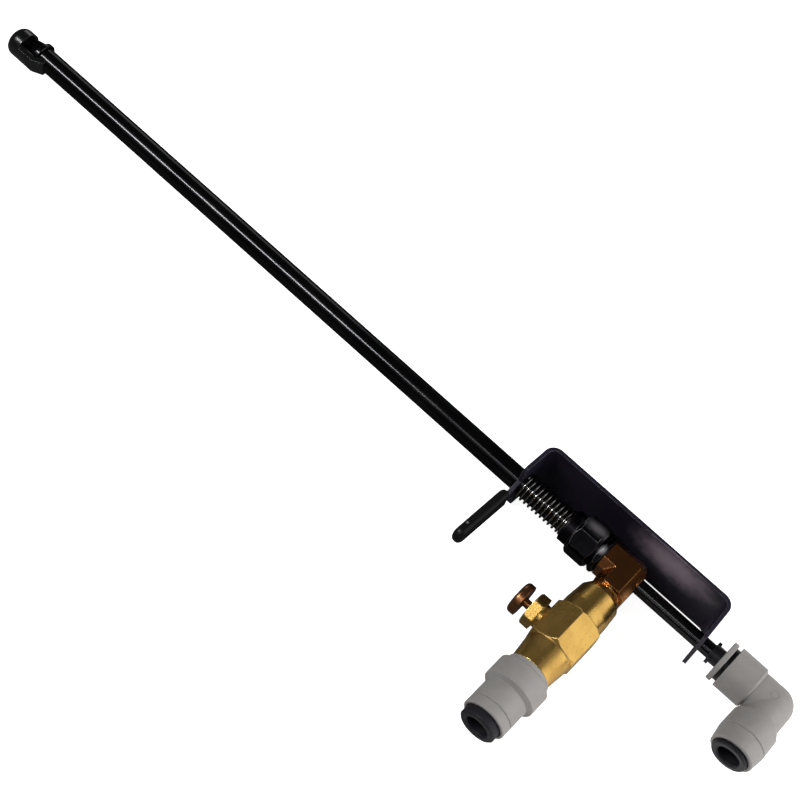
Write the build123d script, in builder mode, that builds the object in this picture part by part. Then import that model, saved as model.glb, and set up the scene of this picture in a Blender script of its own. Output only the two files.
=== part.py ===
from build123d import *
import os

os.makedirs("parts", exist_ok=True)

# Frame: +X runs from the filling tip to the inlets, the grip valve points to -Y, +Z is up.
# The origin is on the tube axis at the outer face of the trigger flange. Sizes in mm.

# Clearances shared by every fit
run_gap = 0.05  # shaft running in a hole
free_gap = 0.3  # moving curved faces that are no fit

# Sheet bracket that carries the trigger and the beer tube
sheet = 1.6
sheet_r = 5.0
bracket_half = 15.0
plate_y = 14.2
plate_front = 0.7
plate_rear = 92.5
flange_lean = plate_front / plate_y
rear_lean = 0.045
shoulder_y = -3.5
shoulder_half = 6.2
rear_flange_y = -4.7
flange_corner_r = 3.0
strip_half = 3.0
strip_top = -8.6
strip_y = -36.6
strip_corner_r = 2.6
sleeve_front = 2.0
sleeve_back = 1.0
sleeve_wall = 1.3
sleeve_flat = 0.2
sleeve_lead = 0.8
sleeve_tail = 1.4
sleeve_end_r = 3.8
sleeve_window_half = 1.8
sleeve_window_inset = 3.4
sleeve_half = strip_half + sleeve_wall
sleeve_top = strip_top - sleeve_lead
sleeve_y = strip_y - sleeve_tail
sleeve_round = (sleeve_front + sheet + sleeve_back) / 2 - sleeve_flat

# Concentric tubes
gas_tube_r = 4.765
gas_tube_wall = 0.715
gas_tube_front = -271.2
beer_tube_r = 3.175
beer_tube_wall = 0.525
beer_tube_reach = 7.1
beer_tube_tail = 22.5
gas_tube_bore_r = gas_tube_r - gas_tube_wall
beer_tube_bore_r = beer_tube_r - beer_tube_wall
beer_run_r = beer_tube_r + run_gap
beer_tube_front = gas_tube_front - beer_tube_reach
beer_tube_rear = plate_rear + beer_tube_tail

# Collar on the tube's end
collar_inset = 1.3
collar_lip = 0.725
collar_cone_wall = 0.085
collar_ring_lead = 0.8
collar_ring_length = 2.3
collar_ring_wall = 1.185
collar_edge = 0.3
collar_front = beer_tube_front + collar_inset
collar_front_r = beer_tube_r + collar_lip
collar_cone_r = gas_tube_r + collar_cone_wall
collar_ring_r = gas_tube_r + collar_ring_wall
collar_ring_front = gas_tube_front - collar_ring_lead
collar_ring_rear = collar_ring_front + collar_ring_length
collar_bore_r = beer_tube_r + free_gap

# Stopper with its strap and the tang inside
stopper_r = 6.4
stopper_shift = 1.9
stopper_head = 7.1
stopper_round = 3.6
strap_lead = 1.3
strap_taper = 7.0
strap_side = 1.5
strap_half = 3.7
tang_thick = 0.6
tang_width = 4.4
tang_cover = 0.65
tang_inset = 2.6
tang_tail = 1.6
stopper_nose = beer_tube_front - stopper_head
strap_full_end = gas_tube_front - strap_lead
strap_taper_end = strap_full_end + strap_taper
tang_depth = collar_ring_r + tang_cover
tang_front = stopper_nose + tang_inset
tang_rear = strap_full_end + tang_tail

# Trigger return spring
spring_wire = 0.9
spring_play = 0.185
spring_seat = 0.35
spring_turns = 11
spring_r = gas_tube_r + spring_wire + spring_play
spring_front = sheet + spring_seat

# Compression fitting on the gas tube
nut_front = 25.2
nut_nose_r = 7.2
nut_nose_length = 4.4
nut_hex_length = 10.7
nut_hex_flats = 17.0
nut_hex_crown = 9.3
nut_thread_wall = 0.7
nut_gap = 0.5
ferrule_inset = 0.1
ferrule_back_length = 2.0
ferrule_front_length = 4.0
ferrule_wall = 1.135
ferrule_tip_wall = 0.185
ferrule_back_wall = 0.535
mouth_inset = 2.9
fitting_hex_length = 3.4
fitting_hex_flats = 15.9
fitting_hex_crown = 8.6
fitting_tube_seat = 1.3
fitting_stub_length = 7.3
fitting_stub_wall = 0.435
hex_bevel = 1.2
hex_turn = 40  # degrees, corners 10 short of upright
nut_hex_front = nut_front + nut_nose_length
nut_rear = nut_hex_front + nut_hex_length
ferrule_r = gas_tube_r + ferrule_wall
ferrule_tip_r = gas_tube_r + ferrule_tip_wall
ferrule_back_r = gas_tube_r + ferrule_back_wall
ferrule_front = nut_hex_front + ferrule_inset
ferrule_split = ferrule_front + ferrule_back_length
ferrule_rear = ferrule_split + ferrule_front_length
nut_thread_r = ferrule_r + nut_thread_wall
mouth_front = ferrule_split + mouth_inset
fitting_hex_front = nut_rear + nut_gap
gas_tube_rear = fitting_hex_front + fitting_tube_seat
fitting_stub_r = gas_tube_r + fitting_stub_wall

# Brass elbow, rear gland and the nipple below
elbow_length = 16.6
elbow_step = 2.8
elbow_half = 7.0
elbow_leg_v = 11.5
elbow_corner_r = 5.0
elbow_bevel = 3.2
elbow_passage_r = 4.2
elbow_passage_length = 3.0
gland_depth = 4.6
gland_ring_length = 2.0
gland_wall = 1.825
neck_r = 6.0
neck_thread_r = 4.4
neck_bore_r = 2.8
neck_clear = 1.0
neck_collar_length = 1.5
neck_thread_length = 7.0
elbow_front = fitting_hex_front + fitting_hex_length
elbow_rear = elbow_front + elbow_length
elbow_leg_front = elbow_front + elbow_step
fitting_stub_rear = elbow_front + fitting_stub_length
elbow_passage_rear = fitting_stub_rear + elbow_passage_length
gland_r = beer_tube_r + gland_wall
gland_front = elbow_rear - gland_depth
gland_split = gland_front + gland_ring_length
neck_top_v = fitting_stub_r + neck_clear
neck_collar_v = elbow_leg_v + neck_collar_length
neck_end_v = neck_collar_v + neck_thread_length

# Gas valve, axis along -Y
valve_reach = 9.3
valve_top_r = 7.0
valve_flare_r = 8.8
valve_flare_length = 3.0
valve_waist_r = 9.5
valve_taper_length = 8.0
valve_waist_length = 5.0
valve_hex_flats = 20.4
valve_hex_crown = 10.6
valve_hex_length = 17.5
valve_lower_r = 10.0
valve_end_r = 8.8
valve_end_length = 11.5
valve_port_r = 6.5
valve_port_deep = 8.0
valve_inlet_r = 2.2
valve_outlet_shift = 3.55
valve_outlet_r = 0.8
port_gap = 0.6
valve_x = elbow_front + valve_reach
valve_flat_front = valve_x - valve_hex_flats / 2
valve_flat_rear = valve_x + valve_hex_flats / 2
valve_outlet_x = valve_x - valve_outlet_shift
valve_top_v = neck_collar_v
valve_flare_v = valve_top_v + valve_flare_length
valve_waist_v = valve_flare_v + valve_taper_length
valve_hex_v = valve_waist_v + valve_waist_length
valve_hex_end_v = valve_hex_v + valve_hex_length
valve_end_v = valve_hex_end_v + valve_end_length
valve_port_v = valve_end_v - valve_port_deep

# Cross hole of the valve, axis along X
cross_drop = 8.5
bonnet_reach = 16.3
bonnet_hex_length = 4.3
bonnet_flats = 12.7
bonnet_crown = 6.9
bonnet_neck_r = 5.2
bonnet_thread_r = 4.6
bonnet_thread_length = 4.2
fore_chamber_r = 3.4
fore_chamber_length = 2.0
seat_r = 2.4
seat_length = 1.5
rear_chamber_r = 4.6
plug_length = 4.2
plug_slot = 1.2
plug_slot_deep = 1.4
stem_r = 1.8
stem_neck_r = 1.3
stem_neck_lead = 1.0
stem_seat_deep = 1.6
stem_tail_length = 1.6
stem_ring_r = 3.1
stem_ring_length = 1.4
stem_ring_inset = 3.3
poppet_r = 3.4
poppet_seal_height = 1.2
poppet_height = 1.8
button_gap = 3.1
button_length = 3.7
button_r = 6.9
button_round = 1.6
valve_spring_r = 2.5
valve_spring_wire = 0.5
valve_spring_turns = 5
cross_v = valve_hex_v + cross_drop
bonnet_front = valve_x - bonnet_reach
bonnet_hex_rear = bonnet_front + bonnet_hex_length
bonnet_rear = valve_flat_front + bonnet_thread_length
fore_chamber_rear = bonnet_rear + fore_chamber_length
seat_x = fore_chamber_rear + seat_length
plug_front = valve_flat_rear - plug_length
button_rear = bonnet_front - button_gap
button_front = button_rear - button_length
stem_front = button_front + stem_seat_deep
stem_neck_x = bonnet_rear + stem_neck_lead
stem_ring_front = bonnet_rear - stem_ring_inset
stem_ring_rear = stem_ring_front + stem_ring_length
poppet_front = seat_x + poppet_seal_height
poppet_rear = poppet_front + poppet_height
stem_tail = poppet_rear + stem_tail_length

# Push-fit sockets for a tube of the gas tube's size
socket_play = 0.085
socket_ring_wall = 1.55
socket_ring_height = 2.4
socket_depth = 18.4
socket_well_deep = 10.0
lip_deep = 4.4
recess_deep = 2.0
collet_leg_wall = 0.85
collet_barb_height = 2.0
collet_barb_deep = 7.4
collet_lead = 0.6
teeth_height = 0.8
teeth_wall = 0.45
socket_r = gas_tube_r + socket_play
socket_ring_r = socket_r + socket_ring_wall
socket_ring_deep = socket_well_deep + socket_ring_height
well_r = socket_ring_r + free_gap
collet_barb_r = well_r - free_gap
collet_leg_r = socket_r + collet_leg_wall
teeth_r = socket_r + teeth_wall
lip_r = collet_leg_r + free_gap

# Gas adaptor
adaptor_flange_length = 2.0
adaptor_flange_r = 9.4
adaptor_bump_r = 11.3
adaptor_bump_length = 11.0
adaptor_body_r = 9.35
adaptor_barrel_length = 13.4
gas_cap_length = 4.4
adaptor_passage_r = 3.0
gas_collet_r = 7.85
gas_collet_height = 3.9
adaptor_stub_v = valve_port_v + port_gap
adaptor_flange_v = valve_end_v + adaptor_flange_length
adaptor_bump_end_v = adaptor_flange_v + adaptor_bump_length
adaptor_end_v = adaptor_bump_end_v + adaptor_barrel_length
adaptor_seam_v = adaptor_end_v - gas_cap_length

# Beer inlet elbow, swivelling on the beer tube
ear_thick = 1.5
ear_gap = 2.9
ear_r = 4.9
ear_half = 2.7
inlet_neck_wall = 0.675
inlet_insert = 13.0
inlet_cap_length = 2.2
inlet_cap_r = 8.8
band_length = 1.6
inlet_stub_r = 5.6
inlet_stub_deep = 2.6
inlet_ring_height = 2.2
inlet_push_room = 1.6
inlet_seal_r = 7.4
block_length = 12.6
block_r = 9.15
block_bevel = 0.7
elbow_run_r = 8.05
elbow_bore_r = 2.6
tube_end_gap = 0.4
outlet_reach = 12.3
outlet_flare_v = 8.6
outlet_flare_length = 3.0
outlet_cone_r = 9.75
outlet_seam_r = 10.0
outlet_end_r = 9.0
outlet_end_v = 27.0
outlet_cap_length = 7.0
outlet_bore_r = 3.5
beer_collet_r = 7.6
beer_collet_height = 1.8
seam_groove = 0.4
inlet_neck_r = beer_run_r + inlet_neck_wall
inlet_cap_front = beer_tube_rear - inlet_insert
inlet_cap_rear = inlet_cap_front + inlet_cap_length
ear_rear = inlet_cap_front - ear_gap
ear_front = ear_rear - ear_thick
block_front = inlet_cap_rear + band_length
block_rear = block_front + block_length
inlet_stub_rear = block_front + inlet_stub_deep
inlet_ring_rear = inlet_stub_rear + inlet_ring_height
inlet_collet_rear = inlet_stub_rear - inlet_push_room
elbow_stop = beer_tube_rear + tube_end_gap
outlet_x = beer_tube_rear + outlet_reach
outlet_cone_v = outlet_flare_v + outlet_flare_length
outlet_seam_v = outlet_end_v - outlet_cap_length


# Sketch planes square to the tube axis and square to the valve axis
def along_x(x, v=0.0):
    return Plane(origin=(x, -v, 0), x_dir=(0, 1, 0), z_dir=(1, 0, 0))


def along_v(x, v):
    return Plane(origin=(x, -v, 0), x_dir=(1, 0, 0), z_dir=(0, -1, 0))


# Half-section planes: first coordinate along the axis, second coordinate the radius
def section_x(v=0.0):
    return Plane(origin=(0, -v, 0), x_dir=(1, 0, 0), z_dir=(0, 0, 1))


def section_v(x):
    return Plane(origin=(x, 0, 0), x_dir=(0, -1, 0), z_dir=(0, 0, 1))


cross_axis = Axis((0, -cross_v, 0), (1, 0, 0))
valve_axis = Axis((valve_x, 0, 0), (0, -1, 0))
outlet_axis = Axis((outlet_x, 0, 0), (0, -1, 0))

# Outer gas tube
with BuildPart() as gas_tube:
    with BuildSketch(along_x(gas_tube_front)):
        Circle(gas_tube_r)
        Circle(gas_tube_bore_r, mode=Mode.SUBTRACT)
    extrude(amount=gas_tube_rear - gas_tube_front)
gas_tube.part.label = "gas_tube"
export_step(gas_tube.part, "parts/gas_tube.step")

# Inner beer tube, fixed in the rear flange of the bracket
with BuildPart() as beer_tube:
    with BuildSketch(along_x(beer_tube_front)):
        Circle(beer_tube_r)
        Circle(beer_tube_bore_r, mode=Mode.SUBTRACT)
    extrude(amount=beer_tube_rear - beer_tube_front)
beer_tube.part.label = "beer_tube"
export_step(beer_tube.part, "parts/beer_tube.step")

# Coned collar on the tube's end, guiding the beer tube and venting gas around it
with BuildPart() as nozzle_collar:
    with BuildSketch(section_x()):
        with BuildLine():
            Polyline(
                (collar_front, collar_bore_r),
                (collar_front, collar_front_r),
                (strap_full_end, collar_cone_r),
                (collar_ring_front, collar_cone_r),
                (collar_ring_front, collar_ring_r - collar_edge),
                (collar_ring_front + collar_edge, collar_ring_r),
                (collar_ring_rear - collar_edge, collar_ring_r),
                (collar_ring_rear, collar_ring_r - collar_edge),
                (collar_ring_rear, gas_tube_r),
                (gas_tube_front, gas_tube_r),
                (gas_tube_front, collar_bore_r),
                close=True,
            )
        make_face()
    revolve(axis=Axis.X)
nozzle_collar.part.label = "nozzle_collar"
export_step(nozzle_collar.part, "parts/nozzle_collar.step")

# Steel tang that stiffens the stopper's strap
with BuildPart() as stopper_tang:
    with BuildSketch(along_x(tang_front)):
        with Locations((-tang_depth - tang_thick / 2, 0)):
            Rectangle(tang_thick, tang_width)
    extrude(amount=tang_rear - tang_front)
stopper_tang.part.label = "stopper_tang"
export_step(stopper_tang.part, "parts/stopper_tang.step")

# Soft stopper: a round head that closes the beer tube, held by a strap on the valve side
with BuildPart() as tip_stopper:
    with BuildSketch(along_x(stopper_nose)):
        with Locations((-stopper_shift, 0)):
            Circle(stopper_r)
    extrude(amount=strap_taper_end - stopper_nose)
    fillet(tip_stopper.edges().sort_by(Axis.X)[0], stopper_round)
    with BuildSketch(along_x(beer_tube_front)):
        with Locations((stopper_r - strap_side, 0)):
            Rectangle(2 * stopper_r, 4 * stopper_r)
        with Locations((0, stopper_r + strap_half), (0, -stopper_r - strap_half)):
            Rectangle(4 * stopper_r, 2 * stopper_r)
        Circle(collar_ring_r)
    extrude(amount=collar_ring_rear - beer_tube_front, mode=Mode.SUBTRACT)
    with BuildSketch(along_x(collar_ring_rear)):
        with Locations((stopper_r - strap_side, 0)):
            Rectangle(2 * stopper_r, 4 * stopper_r)
        with Locations((0, stopper_r + strap_half), (0, -stopper_r - strap_half)):
            Rectangle(4 * stopper_r, 2 * stopper_r)
        Circle(gas_tube_r)
    extrude(amount=strap_taper_end - collar_ring_rear, mode=Mode.SUBTRACT)
    with BuildSketch(Plane.XY):
        with BuildLine():
            Polyline(
                (strap_full_end, -stopper_r - stopper_shift),
                (strap_taper_end, -gas_tube_r),
                (strap_taper_end + sheet, -gas_tube_r),
                (strap_taper_end, -2 * stopper_r),
                (strap_full_end, -2 * stopper_r),
                close=True,
            )
        make_face()
    extrude(amount=stopper_r, both=True, mode=Mode.SUBTRACT)
    add(stopper_tang.part, mode=Mode.SUBTRACT)
tip_stopper.part.label = "tip_stopper"
export_step(tip_stopper.part, "parts/tip_stopper.step")

# U-bent bracket: leaning flanges, wide plate, trigger strip below the front flange
with BuildPart() as bracket:
    with BuildSketch(Plane.XY):
        with BuildLine() as sheet_line:
            Polyline(
                (strip_y * flange_lean, strip_y),
                (plate_front, plate_y),
                (plate_rear, plate_y),
                (plate_rear + rear_lean * (plate_y - rear_flange_y), rear_flange_y),
            )
            fillet(sheet_line.vertices().group_by(Axis.Y)[-1], sheet_r)
            offset(amount=sheet, side=Side.RIGHT)
        make_face()
    extrude(amount=bracket_half, both=True)
    with BuildSketch(along_x(strip_y * flange_lean - sheet)):
        for side in (-1, 1):
            with BuildLine():
                Polyline(
                    (shoulder_y, side * (bracket_half + sheet)),
                    (shoulder_y, side * shoulder_half),
                    (strip_top, side * strip_half),
                    (strip_y - sheet, side * strip_half),
                    (strip_y - sheet, side * (bracket_half + sheet)),
                    close=True,
                )
            make_face()
    extrude(amount=plate_y, mode=Mode.SUBTRACT)
    low_corners = bracket.edges().filter_by(GeomType.LINE).filter_by(
        lambda e: abs(e.center().Z) > bracket_half - 0.01 and e.length < 1.2 * sheet
    )
    fillet(low_corners.filter_by(lambda e: e.center().Y < 0), flange_corner_r)
    strip_corners = bracket.edges().filter_by(
        lambda e: e.length < 1.2 * sheet and e.center().Y < strip_y + sheet
    )
    fillet(strip_corners, strip_corner_r)
    with BuildSketch(along_x(-sheet)):
        Circle(gas_tube_r + run_gap)
    extrude(amount=4 * sheet, mode=Mode.SUBTRACT)
    with BuildSketch(along_x(plate_rear - 2 * sheet)):
        Circle(beer_tube_r)
    extrude(amount=4 * sheet, mode=Mode.SUBTRACT)
bracket.part.label = "bracket"
export_step(bracket.part, "parts/bracket.step")

# Dipped sleeve over the trigger strip, with a window at its back
with BuildPart() as trigger_sleeve:
    with BuildSketch(Plane.XY):
        with BuildLine():
            Polyline(
                (sleeve_top * flange_lean - sleeve_front, sleeve_top),
                (sleeve_top * flange_lean + sheet + sleeve_back, sleeve_top),
                (sleeve_y * flange_lean + sheet + sleeve_back, sleeve_y),
                (sleeve_y * flange_lean - sleeve_front, sleeve_y),
                close=True,
            )
        make_face()
    extrude(amount=sleeve_half, both=True)
    end_corners = trigger_sleeve.edges().filter_by(
        lambda e: abs(e.center().Z) > sleeve_half - 0.01 and abs(e.center().Y - sleeve_y) < 0.01
    )
    fillet(end_corners, sleeve_end_r)
    broad_faces = trigger_sleeve.faces().sort_by(Axis.X)
    fillet(broad_faces[0].edges() + broad_faces[-1].edges(), sleeve_round)
    with BuildSketch(along_x(0)):
        with Locations(((sleeve_top + sleeve_y) / 2, 0)):
            Rectangle(sleeve_top - sleeve_y - 2 * sleeve_window_inset, 2 * sleeve_window_half)
    extrude(amount=plate_y, mode=Mode.SUBTRACT)
    add(bracket.part, mode=Mode.SUBTRACT)
trigger_sleeve.part.label = "trigger_sleeve"
export_step(trigger_sleeve.part, "parts/trigger_sleeve.step")

# Return spring between the front flange and the nut
spring_length = nut_front - spring_front - spring_wire
with BuildPart() as main_spring:
    with BuildLine() as spring_path:
        Helix(
            spring_length / spring_turns,
            spring_length,
            spring_r - spring_wire / 2,
            center=(spring_front + spring_wire / 2, 0, 0),
            direction=(1, 0, 0),
        )
    with BuildSketch(Plane(origin=spring_path.line @ 0, z_dir=spring_path.line % 0)):
        RegularPolygon(spring_wire / 2, 8)
    sweep(is_frenet=True)
main_spring.part.label = "main_spring"
export_step(main_spring.part, "parts/main_spring.step")

# Compression nut: round nose and a crowned hexagon
with BuildPart() as compression_nut:
    with BuildSketch(along_x(nut_hex_front)):
        RegularPolygon(nut_hex_flats / 2, 6, major_radius=False, rotation=hex_turn)
    extrude(amount=nut_rear - nut_hex_front)
    with BuildSketch(section_x()):
        with BuildLine():
            Polyline(
                (nut_hex_front, 0),
                (nut_hex_front, nut_hex_crown - hex_bevel),
                (nut_hex_front + hex_bevel, nut_hex_crown),
                (nut_rear - hex_bevel, nut_hex_crown),
                (nut_rear, nut_hex_crown - hex_bevel),
                (nut_rear, 0),
                close=True,
            )
        make_face()
    revolve(axis=Axis.X, mode=Mode.INTERSECT)
    with BuildSketch(along_x(nut_front)):
        Circle(nut_nose_r)
    extrude(amount=nut_hex_front - nut_front)
    fillet(compression_nut.edges().sort_by(Axis.X)[0], collar_edge)
    with BuildSketch(section_x()):
        with BuildLine():
            Polyline(
                (nut_front, 0),
                (nut_front, gas_tube_r + run_gap),
                (ferrule_front, gas_tube_r + run_gap),
                (ferrule_front, ferrule_back_r),
                (ferrule_split, ferrule_r),
                (mouth_front, ferrule_r),
                (mouth_front, nut_thread_r),
                (nut_rear, nut_thread_r),
                (nut_rear, 0),
                close=True,
            )
        make_face()
    revolve(axis=Axis.X, mode=Mode.SUBTRACT)
compression_nut.part.label = "compression_nut"
export_step(compression_nut.part, "parts/compression_nut.step")

# Two ferrules that bite on the gas tube
with BuildPart() as back_ferrule:
    with BuildSketch(section_x()):
        with BuildLine():
            Polyline(
                (ferrule_front, gas_tube_r),
                (ferrule_front, ferrule_back_r),
                (ferrule_split, ferrule_r),
                (ferrule_split, gas_tube_r),
                close=True,
            )
        make_face()
    revolve(axis=Axis.X)
back_ferrule.part.label = "back_ferrule"
export_step(back_ferrule.part, "parts/back_ferrule.step")

with BuildPart() as front_ferrule:
    with BuildSketch(section_x()):
        with BuildLine():
            Polyline(
                (ferrule_split, gas_tube_r),
                (ferrule_split, ferrule_r),
                (ferrule_rear, ferrule_tip_r),
                (ferrule_rear, gas_tube_r),
                close=True,
            )
        make_face()
    revolve(axis=Axis.X)
front_ferrule.part.label = "front_ferrule"
export_step(front_ferrule.part, "parts/front_ferrule.step")

# Fitting body: coned mouth, hexagon, threaded stub in the elbow
ferrule_slope = (ferrule_r - ferrule_tip_r) / (ferrule_rear - ferrule_split)
mouth_r = ferrule_r - ferrule_slope * (mouth_front - ferrule_split)
with BuildPart() as fitting_body:
    with BuildSketch(along_x(fitting_hex_front)):
        RegularPolygon(fitting_hex_flats / 2, 6, major_radius=False, rotation=hex_turn)
    extrude(amount=elbow_front - fitting_hex_front)
    with BuildSketch(section_x()):
        with BuildLine():
            Polyline(
                (fitting_hex_front, 0),
                (fitting_hex_front, fitting_hex_crown - hex_bevel),
                (fitting_hex_front + hex_bevel, fitting_hex_crown),
                (elbow_front - hex_bevel, fitting_hex_crown),
                (elbow_front, fitting_hex_crown - hex_bevel),
                (elbow_front, 0),
                close=True,
            )
        make_face()
    revolve(axis=Axis.X, mode=Mode.INTERSECT)
    with BuildSketch(along_x(mouth_front)):
        Circle(nut_thread_r)
    extrude(amount=fitting_hex_front - mouth_front)
    with BuildSketch(along_x(elbow_front)):
        Circle(fitting_stub_r)
    extrude(amount=fitting_stub_rear - elbow_front)
    with BuildSketch(section_x()):
        with BuildLine():
            Polyline(
                (mouth_front, 0),
                (mouth_front, mouth_r),
                (ferrule_rear, ferrule_tip_r),
                (ferrule_rear, gas_tube_r),
                (gas_tube_rear, gas_tube_r),
                (gas_tube_rear, gas_tube_bore_r),
                (fitting_stub_rear, gas_tube_bore_r),
                (fitting_stub_rear, 0),
                close=True,
            )
        make_face()
    revolve(axis=Axis.X, mode=Mode.SUBTRACT)
fitting_body.part.label = "fitting_body"
export_step(fitting_body.part, "parts/fitting_body.step")

# Forged brass elbow that turns the gas into the tube and lets the beer tube through
with BuildPart() as brass_elbow:
    with BuildSketch(Plane.XY) as elbow_side:
        with BuildLine():
            Polyline(
                (elbow_front, elbow_half),
                (elbow_rear, elbow_half),
                (elbow_rear, -elbow_leg_v),
                (elbow_leg_front, -elbow_leg_v),
                (elbow_leg_front, -elbow_half),
                (elbow_front, -elbow_half),
                close=True,
            )
        make_face()
        rear_corner = elbow_side.vertices().group_by(Axis.X)[-1].sort_by(Axis.Y)[-1]
        fillet(rear_corner, elbow_corner_r)
    extrude(amount=elbow_half, both=True)
    side_edges = brass_elbow.edges().filter_by(lambda e: abs(e.center().Z) > elbow_half - 0.01)
    chamfer(
        side_edges.filter_by(
            lambda e: e.center().X > elbow_front + 0.01 and e.center().Y > 0.01 - elbow_leg_v
        ),
        elbow_bevel,
    )
    with BuildSketch(section_x()):
        with BuildLine():
            Polyline(
                (elbow_front, 0),
                (elbow_front, fitting_stub_r),
                (fitting_stub_rear, fitting_stub_r),
                (fitting_stub_rear, elbow_passage_r),
                (elbow_passage_rear, elbow_passage_r),
                (elbow_passage_rear, collar_bore_r),
                (gland_front, collar_bore_r),
                (gland_front, gland_r),
                (elbow_rear, gland_r),
                (elbow_rear, 0),
                close=True,
            )
        make_face()
    revolve(axis=Axis.X, mode=Mode.SUBTRACT)
    with BuildSketch(along_v(valve_x, neck_top_v)):
        Circle(neck_thread_r)
    extrude(amount=elbow_leg_v - neck_top_v, mode=Mode.SUBTRACT)
    with BuildSketch(along_v(valve_x - sheet, 0)):
        Circle(neck_bore_r - collar_edge)
    extrude(amount=neck_top_v, mode=Mode.SUBTRACT)
brass_elbow.part.label = "brass_elbow"
export_step(brass_elbow.part, "parts/brass_elbow.step")

# Seal ring and pressed bush that close the gas space around the beer tube
with BuildPart() as gland_ring:
    with BuildSketch(along_x(gland_front)):
        Circle(gland_r)
        Circle(beer_run_r, mode=Mode.SUBTRACT)
    extrude(amount=gland_split - gland_front)
gland_ring.part.label = "gland_ring"
export_step(gland_ring.part, "parts/gland_ring.step")

with BuildPart() as gland_bush:
    with BuildSketch(along_x(gland_split)):
        Circle(gland_r)
        Circle(beer_run_r, mode=Mode.SUBTRACT)
    extrude(amount=elbow_rear - gland_split)
gland_bush.part.label = "gland_bush"
export_step(gland_bush.part, "parts/gland_bush.step")

# Threaded nipple between elbow and valve, with a plain collar left showing
with BuildPart() as neck_nipple:
    with BuildSketch(along_v(valve_x, neck_top_v)):
        Circle(neck_thread_r)
    extrude(amount=neck_end_v - neck_top_v)
    with BuildSketch(along_v(valve_x, elbow_leg_v)):
        Circle(neck_r)
    extrude(amount=neck_collar_v - elbow_leg_v)
    with BuildSketch(along_v(valve_x, neck_top_v)):
        Circle(neck_bore_r)
    extrude(amount=neck_end_v - neck_top_v, mode=Mode.SUBTRACT)
neck_nipple.part.label = "neck_nipple"
export_step(neck_nipple.part, "parts/neck_nipple.step")

# Valve body: flared top, crowned hexagon, turned lower end, drilled cross hole
with BuildPart() as valve_body:
    with BuildSketch(along_v(valve_x, valve_hex_v)):
        RegularPolygon(valve_hex_flats / 2, 6, major_radius=False, rotation=30)
    extrude(amount=valve_hex_end_v - valve_hex_v)
    with BuildSketch(section_v(valve_x)):
        with BuildLine():
            Polyline(
                (valve_hex_v, 0),
                (valve_hex_v, valve_hex_crown),
                (valve_hex_v + hex_bevel, valve_hex_crown + hex_bevel),
                (valve_hex_end_v - hex_bevel, valve_hex_crown + hex_bevel),
                (valve_hex_end_v, valve_hex_crown),
                (valve_hex_end_v, 0),
                close=True,
            )
        make_face()
    revolve(axis=valve_axis, mode=Mode.INTERSECT)
    with BuildSketch(section_v(valve_x)):
        with BuildLine():
            Polyline(
                (valve_hex_v, 0),
                (valve_top_v, 0),
                (valve_top_v, valve_top_r),
                (valve_flare_v, valve_flare_r),
                (valve_waist_v, valve_waist_r),
                (valve_hex_v, valve_waist_r),
                close=True,
            )
        make_face()
    revolve(axis=valve_axis)
    with BuildSketch(section_v(valve_x)):
        with BuildLine():
            Polyline(
                (valve_hex_end_v, 0),
                (valve_hex_end_v, valve_lower_r),
                (valve_end_v, valve_end_r),
                (valve_end_v, 0),
                close=True,
            )
        make_face()
    revolve(axis=valve_axis)
    with BuildSketch(section_x(cross_v)):
        with BuildLine():
            Polyline(
                (valve_flat_front, 0),
                (valve_flat_front, bonnet_thread_r),
                (bonnet_rear, bonnet_thread_r),
                (bonnet_rear, fore_chamber_r),
                (fore_chamber_rear, fore_chamber_r),
                (fore_chamber_rear, seat_r),
                (seat_x, seat_r),
                (seat_x, rear_chamber_r),
                (valve_flat_rear, rear_chamber_r),
                (valve_flat_rear, 0),
                close=True,
            )
        make_face()
    revolve(axis=cross_axis, mode=Mode.SUBTRACT)
    with BuildSketch(along_v(valve_x, valve_top_v)):
        Circle(neck_thread_r)
    extrude(amount=neck_end_v - valve_top_v, mode=Mode.SUBTRACT)
    with BuildSketch(along_v(valve_outlet_x, neck_end_v)):
        Circle(valve_outlet_r)
    extrude(amount=cross_v - neck_end_v, mode=Mode.SUBTRACT)
    with BuildSketch(along_v(valve_x, valve_port_v)):
        Circle(valve_port_r)
    extrude(amount=valve_end_v - valve_port_v, mode=Mode.SUBTRACT)
    with BuildSketch(along_v(valve_x, cross_v)):
        Circle(valve_inlet_r)
    extrude(amount=valve_port_v - cross_v, mode=Mode.SUBTRACT)
valve_body.part.label = "valve_body"
export_step(valve_body.part, "parts/valve_body.step")

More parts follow.
